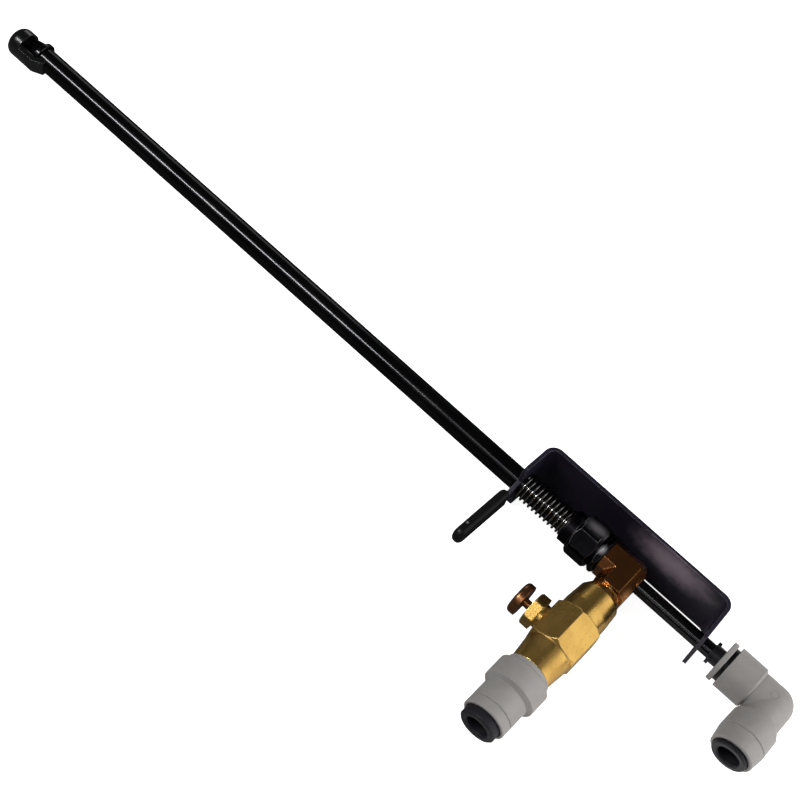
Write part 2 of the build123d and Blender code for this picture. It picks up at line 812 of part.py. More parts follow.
# Bonnet that guides the stem
with BuildPart() as valve_bonnet:
    with BuildSketch(along_x(bonnet_front, cross_v)):
        RegularPolygon(bonnet_flats / 2, 6, major_radius=False, rotation=30)
    extrude(amount=bonnet_hex_rear - bonnet_front)
    with BuildSketch(section_x(cross_v)):
        with BuildLine():
            Polyline(
                (bonnet_front, 0),
                (bonnet_front, bonnet_crown - collar_edge),
                (bonnet_front + hex_bevel / 2, bonnet_crown + collar_edge),
                (bonnet_hex_rear, bonnet_crown + collar_edge),
                (bonnet_hex_rear, 0),
                close=True,
            )
        make_face()
    revolve(axis=cross_axis, mode=Mode.INTERSECT)
    with BuildSketch(along_x(bonnet_hex_rear, cross_v)):
        Circle(bonnet_neck_r)
    extrude(amount=valve_flat_front - bonnet_hex_rear)
    with BuildSketch(along_x(valve_flat_front, cross_v)):
        Circle(bonnet_thread_r)
    extrude(amount=bonnet_rear - valve_flat_front)
    with BuildSketch(section_x(cross_v)):
        with BuildLine():
            Polyline(
                (bonnet_front, 0),
                (bonnet_front, stem_r + run_gap),
                (stem_ring_front, stem_r + run_gap),
                (stem_ring_front, stem_ring_r),
                (stem_ring_rear, stem_ring_r),
                (stem_ring_rear, stem_r + run_gap),
                (bonnet_rear, stem_r + run_gap),
                (bonnet_rear, 0),
                close=True,
            )
        make_face()
    revolve(axis=cross_axis, mode=Mode.SUBTRACT)
valve_bonnet.part.label = "valve_bonnet"
export_step(valve_bonnet.part, "parts/valve_bonnet.step")

# Seal ring around the stem
with BuildPart() as stem_ring:
    with BuildSketch(along_x(stem_ring_front, cross_v)):
        Circle(stem_ring_r)
        Circle(stem_r + run_gap, mode=Mode.SUBTRACT)
    extrude(amount=stem_ring_rear - stem_ring_front)
stem_ring.part.label = "stem_ring"
export_step(stem_ring.part, "parts/stem_ring.step")

# Stem with its poppet plate
with BuildPart() as valve_stem:
    with BuildSketch(section_x(cross_v)):
        with BuildLine():
            Polyline(
                (stem_front, 0),
                (stem_front, stem_r),
                (stem_neck_x, stem_r),
                (stem_neck_x, stem_neck_r),
                (poppet_front, stem_neck_r),
                (poppet_front, poppet_r),
                (poppet_rear, poppet_r),
                (poppet_rear, stem_neck_r),
                (stem_tail, stem_neck_r),
                (stem_tail, 0),
                close=True,
            )
        make_face()
    revolve(axis=cross_axis)
valve_stem.part.label = "valve_stem"
export_step(valve_stem.part, "parts/valve_stem.step")

# Soft disc on the poppet that closes against the seat
with BuildPart() as poppet_seal:
    with BuildSketch(along_x(seat_x, cross_v)):
        Circle(poppet_r)
        Circle(stem_neck_r, mode=Mode.SUBTRACT)
    extrude(amount=poppet_front - seat_x)
poppet_seal.part.label = "poppet_seal"
export_step(poppet_seal.part, "parts/poppet_seal.step")

# Mushroom button pressed on the stem
with BuildPart() as valve_button:
    with BuildSketch(along_x(button_front, cross_v)):
        Circle(button_r)
    extrude(amount=button_rear - button_front)
    fillet(valve_button.edges().sort_by(Axis.X)[0], button_round)
    fillet(valve_button.edges().sort_by(Axis.X)[-1], collar_edge)
    with BuildSketch(along_x(stem_front, cross_v)):
        Circle(stem_r)
    extrude(amount=button_rear - stem_front, mode=Mode.SUBTRACT)
valve_button.part.label = "valve_button"
export_step(valve_button.part, "parts/valve_button.step")

# Spring that closes the poppet
valve_spring_length = plug_front - poppet_rear - valve_spring_wire - collar_edge
with BuildPart() as valve_spring:
    with BuildLine() as coil_path:
        Helix(
            valve_spring_length / valve_spring_turns,
            valve_spring_length,
            valve_spring_r - valve_spring_wire / 2,
            center=(poppet_rear + valve_spring_wire / 2 + collar_edge / 2, -cross_v, 0),
            direction=(1, 0, 0),
        )
    with BuildSketch(Plane(origin=coil_path.line @ 0, z_dir=coil_path.line % 0)):
        RegularPolygon(valve_spring_wire / 2, 6)
    sweep(is_frenet=True)
valve_spring.part.label = "valve_spring"
export_step(valve_spring.part, "parts/valve_spring.step")

# Slotted plug that closes the cross hole behind the spring
with BuildPart() as valve_plug:
    with BuildSketch(along_x(plug_front, cross_v)):
        Circle(rear_chamber_r)
    extrude(amount=valve_flat_rear - plug_front)
    with BuildSketch(along_x(valve_flat_rear - plug_slot_deep, cross_v)):
        Rectangle(2 * rear_chamber_r, plug_slot)
    extrude(amount=plug_slot_deep, mode=Mode.SUBTRACT)
valve_plug.part.label = "valve_plug"
export_step(valve_plug.part, "parts/valve_plug.step")

# Gas adaptor: threaded stub, shoulder bump and the socket for the gas line
gas_ring_v = adaptor_end_v - socket_ring_deep
gas_well_v = adaptor_end_v - socket_well_deep
gas_stop_v = adaptor_end_v - socket_depth
with BuildPart() as gas_adaptor:
    with BuildSketch(section_v(valve_x)) as adaptor_side:
        with BuildLine():
            Polyline(
                (valve_end_v, 0),
                (valve_end_v, valve_end_r),
                (valve_end_v + collar_edge, adaptor_flange_r),
                (adaptor_flange_v, adaptor_flange_r),
                (adaptor_flange_v + hex_bevel, adaptor_bump_r),
                (adaptor_bump_end_v - hex_bevel, adaptor_bump_r),
                (adaptor_bump_end_v + collar_edge, adaptor_body_r),
                (adaptor_seam_v - seam_groove, adaptor_body_r),
                (adaptor_seam_v, adaptor_body_r - seam_groove),
                (adaptor_seam_v, 0),
                close=True,
            )
        make_face()
        bump = adaptor_side.vertices().filter_by(lambda p: abs(p.X - valve_x - adaptor_bump_r) < 0.01)
        fillet(bump, hex_bevel)
    revolve(axis=valve_axis)
    with BuildSketch(along_v(valve_x, adaptor_stub_v)):
        Circle(valve_port_r)
    extrude(amount=valve_end_v - adaptor_stub_v)
    with BuildSketch(section_v(valve_x)):
        with BuildLine():
            Polyline(
                (adaptor_stub_v, 0),
                (adaptor_stub_v, adaptor_passage_r),
                (gas_stop_v, adaptor_passage_r),
                (gas_stop_v, socket_r),
                (gas_ring_v, socket_r),
                (gas_ring_v, socket_ring_r),
                (gas_well_v, socket_ring_r),
                (gas_well_v, well_r),
                (adaptor_seam_v, well_r),
                (adaptor_seam_v, 0),
                close=True,
            )
        make_face()
    revolve(axis=valve_axis, mode=Mode.SUBTRACT)
gas_adaptor.part.label = "gas_adaptor"
export_step(gas_adaptor.part, "parts/gas_adaptor.step")

# End cap that keeps the collet in the gas adaptor
with BuildPart() as gas_cap:
    with BuildSketch(section_v(valve_x)):
        with BuildLine():
            Polyline(
                (adaptor_seam_v, adaptor_body_r - seam_groove),
                (adaptor_seam_v + seam_groove, adaptor_body_r),
                (adaptor_end_v - seam_groove, adaptor_body_r),
                (adaptor_end_v, adaptor_body_r - seam_groove),
                (adaptor_end_v, gas_collet_r + free_gap),
                (adaptor_end_v - recess_deep, gas_collet_r + free_gap),
                (adaptor_end_v - recess_deep, lip_r),
                (adaptor_seam_v + seam_groove, lip_r),
                (adaptor_seam_v + seam_groove, well_r),
                (adaptor_seam_v, well_r),
                close=True,
            )
        make_face()
    revolve(axis=valve_axis)
gas_cap.part.label = "gas_cap"
export_step(gas_cap.part, "parts/gas_cap.step")

# Seal ring of the gas socket
with BuildPart() as gas_ring:
    with BuildSketch(along_v(valve_x, gas_ring_v)):
        Circle(socket_ring_r)
        Circle(socket_r, mode=Mode.SUBTRACT)
    extrude(amount=socket_ring_height)
gas_ring.part.label = "gas_ring"
export_step(gas_ring.part, "parts/gas_ring.step")

# Release collet of the gas socket with a steel tooth ring moulded in its foot
gas_barb_v = adaptor_end_v - collet_barb_deep
gas_barb_end_v = gas_barb_v + collet_barb_height
gas_mouth_v = adaptor_end_v + gas_collet_height
with BuildPart() as gas_collet:
    with BuildSketch(section_v(valve_x)):
        with BuildLine():
            Polyline(
                (gas_barb_v, socket_r),
                (gas_barb_v, collet_leg_r),
                (gas_barb_end_v, collet_barb_r),
                (gas_barb_end_v, collet_leg_r),
                (adaptor_end_v, collet_leg_r),
                (adaptor_end_v, gas_collet_r),
                (gas_mouth_v - collet_lead, gas_collet_r),
                (gas_mouth_v, gas_collet_r - collet_lead),
                (gas_mouth_v, socket_r + collet_lead),
                (gas_mouth_v - collet_lead, socket_r),
                (gas_barb_end_v + teeth_height, socket_r),
                (gas_barb_end_v + teeth_height, teeth_r),
                (gas_barb_end_v, teeth_r),
                (gas_barb_end_v, socket_r),
                close=True,
            )
        make_face()
    revolve(axis=valve_axis)
gas_collet.part.label = "gas_collet"
export_step(gas_collet.part, "parts/gas_collet.step")

with BuildPart() as gas_teeth:
    with BuildSketch(along_v(valve_x, gas_barb_end_v)):
        Circle(teeth_r)
        Circle(socket_r, mode=Mode.SUBTRACT)
    extrude(amount=teeth_height)
gas_teeth.part.label = "gas_teeth"
export_step(gas_teeth.part, "parts/gas_teeth.step")

# Collet that locks the swivelling elbow on the beer tube, with two finger ears
with BuildPart() as inlet_collet:
    with BuildSketch(along_x(ear_front)):
        Circle(inlet_neck_r)
        with BuildSketch(mode=Mode.PRIVATE) as ears:
            Circle(ear_r)
            Rectangle(2 * ear_r, 2 * ear_half, mode=Mode.INTERSECT)
        add(ears.sketch)
    extrude(amount=ear_rear - ear_front)
    with BuildSketch(along_x(ear_front)):
        Circle(inlet_neck_r)
    extrude(amount=inlet_collet_rear - ear_front)
    with BuildSketch(along_x(ear_front)):
        Circle(beer_run_r)
    extrude(amount=inlet_collet_rear - ear_front, mode=Mode.SUBTRACT)
inlet_collet.part.label = "inlet_collet"
export_step(inlet_collet.part, "parts/inlet_collet.step")

# Cap pressed in the elbow's inlet
with BuildPart() as inlet_cap:
    with BuildSketch(along_x(inlet_cap_front)):
        Circle(inlet_cap_r)
    extrude(amount=inlet_cap_rear - inlet_cap_front)
    fillet(inlet_cap.edges(), seam_groove)
    with BuildSketch(along_x(inlet_cap_rear)):
        Circle(inlet_stub_r)
    extrude(amount=inlet_stub_rear - inlet_cap_rear)
    with BuildSketch(along_x(inlet_cap_front)):
        Circle(inlet_neck_r + free_gap)
    extrude(amount=inlet_stub_rear - inlet_cap_front, mode=Mode.SUBTRACT)
inlet_cap.part.label = "inlet_cap"
export_step(inlet_cap.part, "parts/inlet_cap.step")

# Black band between cap and elbow
with BuildPart() as cap_band:
    with BuildSketch(along_x(inlet_cap_rear)):
        Circle(inlet_seal_r)
        Circle(inlet_stub_r, mode=Mode.SUBTRACT)
    extrude(amount=block_front - inlet_cap_rear)
cap_band.part.label = "cap_band"
export_step(cap_band.part, "parts/cap_band.step")

# Seal ring between the beer tube and the elbow
with BuildPart() as inlet_ring:
    with BuildSketch(along_x(inlet_stub_rear)):
        Circle(inlet_stub_r)
        Circle(beer_run_r, mode=Mode.SUBTRACT)
    extrude(amount=inlet_ring_rear - inlet_stub_rear)
inlet_ring.part.label = "inlet_ring"
export_step(inlet_ring.part, "parts/inlet_ring.step")

# Moulded elbow: round inlet boss, round bend, outlet leg that steps out to its socket
beer_ring_v = outlet_end_v - socket_ring_deep
beer_well_v = outlet_end_v - socket_well_deep
beer_stop_v = outlet_end_v - socket_depth
with BuildPart() as elbow_body:
    with BuildSketch(along_x(block_front)):
        Circle(block_r)
    extrude(amount=block_rear - block_front)
    boss_rims = elbow_body.edges().sort_by(Axis.X)
    chamfer(boss_rims[-1], block_bevel)
    fillet(elbow_body.edges().sort_by(Axis.X)[0], seam_groove)
    with BuildSketch(along_x(block_rear - sheet)):
        Circle(elbow_run_r)
    extrude(amount=outlet_x - block_rear + sheet)
    with Locations((outlet_x, 0, 0)):
        Sphere(elbow_run_r)
    with BuildSketch(section_v(outlet_x)):
        with BuildLine():
            Polyline(
                (0, 0),
                (0, elbow_run_r),
                (outlet_flare_v, elbow_run_r),
                (outlet_cone_v, outlet_cone_r),
                (outlet_seam_v - seam_groove, outlet_seam_r),
                (outlet_seam_v, outlet_seam_r - seam_groove),
                (outlet_seam_v, 0),
                close=True,
            )
        make_face()
    revolve(axis=outlet_axis)
    with BuildSketch(section_x()):
        with BuildLine():
            Polyline(
                (block_front, 0),
                (block_front, inlet_stub_r),
                (inlet_ring_rear, inlet_stub_r),
                (inlet_ring_rear, beer_run_r),
                (elbow_stop, beer_run_r),
                (elbow_stop, elbow_bore_r),
                (outlet_x, elbow_bore_r),
                (outlet_x, 0),
                close=True,
            )
        make_face()
    revolve(axis=Axis.X, mode=Mode.SUBTRACT)
    with BuildSketch(section_v(outlet_x)):
        with BuildLine():
            Polyline(
                (0, 0),
                (0, outlet_bore_r),
                (beer_stop_v, outlet_bore_r),
                (beer_stop_v, socket_r),
                (beer_ring_v, socket_r),
                (beer_ring_v, socket_ring_r),
                (beer_well_v, socket_ring_r),
                (beer_well_v, well_r),
                (outlet_seam_v, well_r),
                (outlet_seam_v, 0),
                close=True,
            )
        make_face()
    revolve(axis=outlet_axis, mode=Mode.SUBTRACT)
elbow_body.part.label = "elbow_body"
export_step(elbow_body.part, "parts/elbow_body.step")

# End cap that keeps the collet in the beer socket
beer_barb_v = outlet_end_v - collet_barb_deep
beer_barb_end_v = beer_barb_v + collet_barb_height
beer_mouth_v = outlet_end_v + beer_collet_height
with BuildPart() as outlet_cap:
    with BuildSketch(section_v(outlet_x)):
        with BuildLine():
            Polyline(
                (outlet_seam_v, outlet_seam_r - seam_groove),
                (outlet_seam_v + seam_groove, outlet_seam_r),
                (outlet_end_v - seam_groove, outlet_end_r + seam_groove / 2),
                (outlet_end_v, outlet_end_r - seam_groove),
                (outlet_end_v, beer_collet_r + free_gap),
                (outlet_end_v - recess_deep, beer_collet_r + free_gap),
                (outlet_end_v - recess_deep, lip_r),
                (outlet_end_v - lip_deep, lip_r),
                (outlet_end_v - lip_deep, well_r),
                (outlet_seam_v, well_r),
                close=True,
            )
        make_face()
    revolve(axis=outlet_axis)
outlet_cap.part.label = "outlet_cap"
export_step(outlet_cap.part, "parts/outlet_cap.step")

# Seal ring of the beer socket
with BuildPart() as beer_ring:
    with BuildSketch(along_v(outlet_x, beer_ring_v)):
        Circle(socket_ring_r)
        Circle(socket_r, mode=Mode.SUBTRACT)
    extrude(amount=socket_ring_height)
beer_ring.part.label = "beer_ring"
export_step(beer_ring.part, "parts/beer_ring.step")

# Release collet of the beer socket and its tooth ring
with BuildPart() as beer_collet:
    with BuildSketch(section_v(outlet_x)):
        with BuildLine():
            Polyline(
                (beer_barb_v, socket_r),
                (beer_barb_v, collet_leg_r),
                (beer_barb_end_v, collet_barb_r),
                (beer_barb_end_v, collet_leg_r),
                (outlet_end_v, collet_leg_r),
                (outlet_end_v, beer_collet_r),
                (beer_mouth_v - seam_groove, beer_collet_r),
                (beer_mouth_v, beer_collet_r - seam_groove),
                (beer_mouth_v, socket_r + collet_lead),
                (beer_mouth_v - collet_lead, socket_r),
                (beer_barb_end_v + teeth_height, socket_r),
                (beer_barb_end_v + teeth_height, teeth_r),
                (beer_barb_end_v, teeth_r),
                (beer_barb_end_v, socket_r),
                close=True,
            )
        make_face()
    revolve(axis=outlet_axis)
beer_collet.part.label = "beer_collet"
export_step(beer_collet.part, "parts/beer_collet.step")

with BuildPart() as beer_teeth:
    with BuildSketch(along_v(outlet_x, beer_barb_end_v)):
        Circle(teeth_r)
        Circle(socket_r, mode=Mode.SUBTRACT)
    extrude(amount=teeth_height)
beer_teeth.part.label = "beer_teeth"
export_step(beer_teeth.part, "parts/beer_teeth.step")
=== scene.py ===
import math
import bmesh
import bpy
from mathutils import Matrix, Vector


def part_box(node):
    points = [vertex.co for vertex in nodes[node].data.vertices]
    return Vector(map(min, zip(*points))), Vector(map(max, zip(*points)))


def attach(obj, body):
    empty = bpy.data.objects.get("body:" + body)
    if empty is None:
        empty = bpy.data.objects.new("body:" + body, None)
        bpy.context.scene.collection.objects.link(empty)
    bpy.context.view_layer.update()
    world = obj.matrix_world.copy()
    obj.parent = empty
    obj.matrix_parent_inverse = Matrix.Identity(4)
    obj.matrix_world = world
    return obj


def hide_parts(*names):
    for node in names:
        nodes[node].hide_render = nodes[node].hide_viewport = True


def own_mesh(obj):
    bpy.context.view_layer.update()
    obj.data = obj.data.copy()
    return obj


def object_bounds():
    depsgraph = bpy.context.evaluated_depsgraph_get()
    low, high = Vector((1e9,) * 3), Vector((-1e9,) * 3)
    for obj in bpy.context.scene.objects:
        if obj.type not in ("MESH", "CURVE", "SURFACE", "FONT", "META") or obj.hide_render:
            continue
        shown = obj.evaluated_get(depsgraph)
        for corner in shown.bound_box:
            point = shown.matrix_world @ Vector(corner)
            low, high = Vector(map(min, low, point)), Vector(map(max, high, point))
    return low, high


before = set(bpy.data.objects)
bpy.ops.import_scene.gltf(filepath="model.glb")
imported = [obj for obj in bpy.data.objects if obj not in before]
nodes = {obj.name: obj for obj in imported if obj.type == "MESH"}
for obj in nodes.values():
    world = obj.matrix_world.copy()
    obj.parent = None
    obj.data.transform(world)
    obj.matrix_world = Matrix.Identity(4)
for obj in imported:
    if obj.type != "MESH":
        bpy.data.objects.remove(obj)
cadLow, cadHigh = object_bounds()
mm = 0.001
print("frame loaded:", len(nodes), "CAD nodes")


# links a socket that it is given, and sets any other value
def feed(tree, socket, value):
    if hasattr(value, "is_output"):
        tree.links.new(value, socket)
    else:
        socket.default_value = value


def setInputs(tree, node, **values):
    for label, value in values.items():
        feed(tree, node.inputs[label.replace("_", " ")], value)


def addNode(tree, kind, place, **settings):
    node = tree.nodes.new(kind)
    node.location = place
    for key, value in settings.items():
        setattr(node, key, value)
    return node


def mathNode(tree, operation, place, *values, clamp=False):
    node = addNode(tree, "ShaderNodeMath", place, operation=operation, use_clamp=clamp)
    for socket, value in zip(node.inputs, values):
        feed(tree, socket, value)
    return node.outputs[0]


# gives back the node, because its result is a vector or a value by its operation
def vectorNode(tree, operation, place, *values):
    node = addNode(tree, "ShaderNodeVectorMath", place, operation=operation)
    for socket, value in zip(node.inputs, values):
        feed(tree, socket, value)
    return node


def noiseNode(tree, place, **values):
    node = addNode(tree, "ShaderNodeTexNoise", place)
    setInputs(tree, node, **values)
    return node.outputs[0]


def rangeNode(tree, place, value, interpolation="LINEAR", **limits):
    node = addNode(tree, "ShaderNodeMapRange", place, interpolation_type=interpolation)
    setInputs(tree, node, Value=value, **limits)
    return node.outputs[0]


# colours are kept as red, green and blue; sockets want a fourth number
def rgba(color):
    return color + (1,) if isinstance(color, tuple) else color


def mixColor(tree, place, factor, colorA, colorB):
    node = addNode(tree, "ShaderNodeMix", place, data_type="RGBA")
    for index, value in ((0, factor), (6, rgba(colorA)), (7, rgba(colorB))):  # 6 and 7 are its colours
        feed(tree, node.inputs[index], value)
    return node.outputs[2]


# inputs are given with their first values; a single number makes a float socket
def openGroup(name, inputs, outputs):
    group = bpy.data.node_groups.new(name, "ShaderNodeTree")
    for label, value in inputs.items():
        kind = "NodeSocketFloat" if isinstance(value, float) else "NodeSocketVector"
        socket = group.interface.new_socket(name=label, in_out="INPUT", socket_type=kind)
        socket.default_value = value
    for label, kind in outputs.items():
        group.interface.new_socket(name=label, in_out="OUTPUT", socket_type=kind)
    source = addNode(group, "NodeGroupInput", (-900, 0))
    result = addNode(group, "NodeGroupOutput", (600, 0))
    return group, source.outputs, result


# rubbed edges: compares the rounded normal with the plain one and breaks the line up with noise
def makeEdgeWear():
    group, given, result = openGroup(
        "edgeWear",
        {"Vector": (0.0, 0.0, 0.0), "Width": 0.0004, "Amount": 0.6, "Breakup": 900.0},
        {"Mask": "NodeSocketFloat", "Normal": "NodeSocketVector"},
    )
    bevel = addNode(group, "ShaderNodeBevel", (-600, 200), samples=6)
    setInputs(group, bevel, Radius=given["Width"])
    plain = addNode(group, "ShaderNodeNewGeometry", (-600, 0))
    compare = vectorNode(group, "DOT_PRODUCT", (-400, 100), bevel.outputs[0], plain.outputs["Normal"])
    bend = mathNode(group, "SUBTRACT", (-200, 100), 1.0, compare.outputs["Value"])
    gain = 9.0  # full wear where the rounding turns the normal by 27 degrees
    strong = mathNode(group, "MULTIPLY", (-50, 100), bend, gain, clamp=True)
    noise = noiseNode(group, (-600, -250), Vector=given["Vector"], Scale=given["Breakup"],
                      Detail=4.0, Roughness=0.65)
    broken = rangeNode(group, (-400, -250), noise, From_Min=0.35, From_Max=0.62)
    wearAndPaintedSpot = mathNode(group, "MULTIPLY", (120, 50), strong, broken)
    mask = mathNode(group, "MULTIPLY", (300, 50), wearAndPaintedSpot, given["Amount"], clamp=True)
    setInputs(group, result, Mask=mask, Normal=bevel.outputs[0])
    return group


# drawn or turned grain: fine and coarse noise stretched along one direction
def makeGrain():
    group, given, result = openGroup(
        "toolGrain",
        {"Vector": (0.0, 0.0, 0.0), "Stretch": (1.0, 1.0, 1.0), "Scale": 2000.0},
        {"Height": "NodeSocketFloat", "Tone": "NodeSocketFloat"},
    )
    stretched = vectorNode(group, "MULTIPLY", (-650, 100), given["Vector"], given["Stretch"]).outputs[0]
    fine = noiseNode(group, (-400, 150), Vector=stretched, Scale=given["Scale"], Detail=3.0, Roughness=0.6)
    coarseShare = 0.12  # of the fine noise's scale
    coarseScale = mathNode(group, "MULTIPLY", (-600, -150), given["Scale"], coarseShare)
    coarse = noiseNode(group, (-400, -150), Vector=stretched, Scale=coarseScale, Detail=2.0, Roughness=0.5)
    both = mathNode(group, "ADD", (-150, 50), fine, coarse)
    height = mathNode(group, "MULTIPLY", (50, 50), both, 0.5)  # their mean
    setInputs(group, result, Height=height, Tone=coarse)
    return group


# slow blotches of two tones, for tarnish, handling and moulding flow
def makeBlotch():
    group, given, result = openGroup(
        "blotch",
        {"Vector": (0.0, 0.0, 0.0), "Scale": 90.0, "Low": 0.4, "High": 0.62},
        {"Mask": "NodeSocketFloat"},
    )
    noise = noiseNode(group, (-500, 0), Vector=given["Vector"], Scale=given["Scale"],
                      Detail=5.0, Roughness=0.6, Distortion=0.4)
    mask = rangeNode(group, (-200, 0), noise, From_Min=given["Low"], From_Max=given["High"])
    setInputs(group, result, Mask=mask)
    return group


# small pits and specks from cells
def makeSpeck():
    group, given, result = openGroup(
        "speck",
        {"Vector": (0.0, 0.0, 0.0), "Scale": 1200.0, "Size": 0.18},
        {"Mask": "NodeSocketFloat"},
    )
    cells = addNode(group, "ShaderNodeTexVoronoi", (-500, 0))
    setInputs(group, cells, Vector=given["Vector"], Scale=given["Scale"])
    inside = mathNode(group, "LESS_THAN", (-250, 0), cells.outputs["Distance"], given["Size"])
    setInputs(group, result, Mask=inside)
    return group


# one painted spot: a soft ball round a centre, edged with noise; the finishes use it for painted highlights
# and sheen, and for one pale dot
def makePaintedSpot():
    group, given, result = openGroup(
        "paintedSpot",
        {"Vector": (0.0, 0.0, 0.0), "Centre": (0.0, 0.0, 0.0), "Radii": (0.01, 0.01, 0.01)},
        {"Mask": "NodeSocketFloat"},
    )
    away = vectorNode(group, "SUBTRACT", (-700, 100), given["Vector"], given["Centre"]).outputs[0]
    scaled = vectorNode(group, "DIVIDE", (-500, 100), away, given["Radii"]).outputs[0]
    reach = vectorNode(group, "LENGTH", (-300, 100), scaled).outputs["Value"]
    noise = noiseNode(group, (-500, -150), Vector=given["Vector"], Scale=260.0, Detail=4.0, Roughness=0.6)
    raggedness = 0.5  # how far the noise moves the edge, in radii
    ragged = mathNode(group, "MULTIPLY_ADD", (-100, 50), noise, raggedness, reach)
    mask = rangeNode(group, (100, 50), ragged, "SMOOTHSTEP", From_Min=1.3, From_Max=0.35)
    setInputs(group, result, Mask=mask)
    return group


edgeWear = makeEdgeWear()
toolGrain = makeGrain()
blotch = makeBlotch()
speck = makeSpeck()
paintedSpot = makePaintedSpot()
print("shader groups ready")


def placeGroup(tree, group, place, **values):
    node = addNode(tree, "ShaderNodeGroup", place, node_tree=group)
    setInputs(tree, node, **values)
    return node.outputs


# every finish: colour, blotches, a painted spot, specks, worn edges and the grain's relief
def makeFinish(name, look):
    material = bpy.data.materials.new(name)
    material.use_nodes = True
    tree = material.node_tree
    shader = tree.nodes["Principled BSDF"]
    vector = addNode(tree, "ShaderNodeTexCoord", (-1500, 0)).outputs["Object"]

    patch = placeGroup(tree, blotch, (-1200, 300), Vector=vector,
                       Scale=look["patchScale"], Low=look["patchLow"], High=look["patchHigh"])
    grain = placeGroup(tree, toolGrain, (-1200, 0), Vector=vector,
                       Stretch=look["grainStretch"], Scale=look["grainScale"])
    edges = placeGroup(tree, edgeWear, (-1200, -300), Vector=vector,
                       Width=look["edgeWidth"], Amount=look["edgeAmount"])
    dots = placeGroup(tree, speck, (-1200, -600), Vector=vector,
                      Scale=look["speckScale"], Size=look["speckSize"])

    body = mixColor(tree, (-900, 300), patch["Mask"], look["base"], look["patch"])
    metal = look["metallic"]
    # the spot is painted into the colour and the metalness: painted highlights and sheen on most finishes,
    # a pale dot on the sleeve
    if "spot" in look:
        spot = look["spot"]
        wearAndPaintedSpot = placeGroup(tree, paintedSpot, (-1200, 600), Vector=vector,
                            Centre=[c * mm for c in spot["centre"]],
                            Radii=[r * mm for r in spot["radii"]])
        body = mixColor(tree, (-800, 500), wearAndPaintedSpot["Mask"], body, spot["color"])
        metal = mathNode(tree, "MULTIPLY_ADD", (-300, 650), wearAndPaintedSpot["Mask"],
                         spot["metallic"] - look["metallic"], look["metallic"])
    tint = mathNode(tree, "MULTIPLY", (-900, 100), grain["Tone"], look["grainTint"])
    grained = mixColor(tree, (-700, 300), tint, body, look["grainColor"])
    dotTint = mathNode(tree, "MULTIPLY", (-900, -50), dots["Mask"], look["speckTint"])
    dotted = mixColor(tree, (-500, 300), dotTint, grained, look["speckColor"])
    worn = mixColor(tree, (-300, 300), edges["Mask"], dotted, look["worn"])

    rough = rangeNode(tree, (-600, -100), grain["Height"],
                      To_Min=look["roughLow"], To_Max=look["roughHigh"])
    patchRough = mathNode(tree, "MULTIPLY", (-600, -350), patch["Mask"], look["patchRough"])
    roughSum = mathNode(tree, "ADD", (-350, -150), rough, patchRough, clamp=True)

    pits = mathNode(tree, "MULTIPLY", (-800, -650), dots["Mask"], look["speckDepth"])
    relief = mathNode(tree, "SUBTRACT", (-600, -550), grain["Height"], pits)
    bump = addNode(tree, "ShaderNodeBump", (-300, -450))
    setInputs(tree, bump, Strength=look["bumpStrength"], Distance=look["bumpDistance"],
              Height=relief, Normal=edges["Normal"])

    setInputs(tree, shader, Base_Color=worn, Metallic=metal, Roughness=roughSum, Normal=bump.outputs[0],
              Specular_IOR_Level=look.get("specular", 0.5), Specular_Tint=rgba(look.get("rim", (1, 1, 1))))
    return material


finishes = {}

# tube steel, dark and drawn along X; rim tints what it mirrors at a grazing angle
steelLook = {
    "base": (0.016, 0.016, 0.018), "patch": (0.030, 0.030, 0.031), "worn": (0.30, 0.30, 0.31),
    "patchScale": 22.0, "patchLow": 0.42, "patchHigh": 0.66, "patchRough": 0.05,
    "grainStretch": (0.02, 1.0, 1.0), "grainScale": 2600.0,
    "grainTint": 0.3, "grainColor": (0.055, 0.055, 0.055),
    "edgeWidth": 0.0002, "edgeAmount": 0.6,
    "speckScale": 500.0, "speckSize": 0.05,
    "speckTint": 0.2, "speckColor": (0.09, 0.09, 0.085), "speckDepth": 0.4,
    "roughLow": 0.13, "roughHigh": 0.17, "bumpStrength": 0.02, "bumpDistance": 0.00003,
    "metallic": 1.0, "rim": (0.6, 0.6, 0.6),
}
finishes["tube"] = makeFinish("drawnTubeSteel", steelLook)

# bracket sheet, navy black with a paler sheen painted behind the beer tube; spots are in mm
sheetLook = dict(
    steelLook, base=(0.012, 0.010, 0.019), patch=(0.022, 0.019, 0.032), worn=(0.16, 0.16, 0.17),
    patchScale=16.0,
    grainStretch=(0.04, 1.0, 1.0), grainScale=1500.0, grainColor=(0.034, 0.030, 0.044),
    edgeWidth=0.0004, edgeAmount=0.7,
    roughLow=0.26, roughHigh=0.40, bumpStrength=0.1, bumpDistance=0.00006,
    metallic=0.25, specular=0.3,
    # painted sheen: a paler, less metallic patch of colour where the plate shows a reflection
    spot={"centre": (66.0, 12.6, 7.5), "radii": (24.0, 1.1, 12.0),
          "color": (0.34, 0.275, 0.33), "metallic": 0.1},
)
finishes["sheet"] = makeFinish("rolledSheetSteel", sheetLook)

springLook = dict(
    steelLook, base=(0.26, 0.25, 0.24), patch=(0.36, 0.35, 0.34),
    grainStretch=(1.0, 1.0, 1.0), grainScale=1800.0, grainColor=(0.42, 0.41, 0.40),
    edgeAmount=0.0, roughLow=0.14, roughHigh=0.26,
)
finishes["spring"] = makeFinish("springWire", springLook)

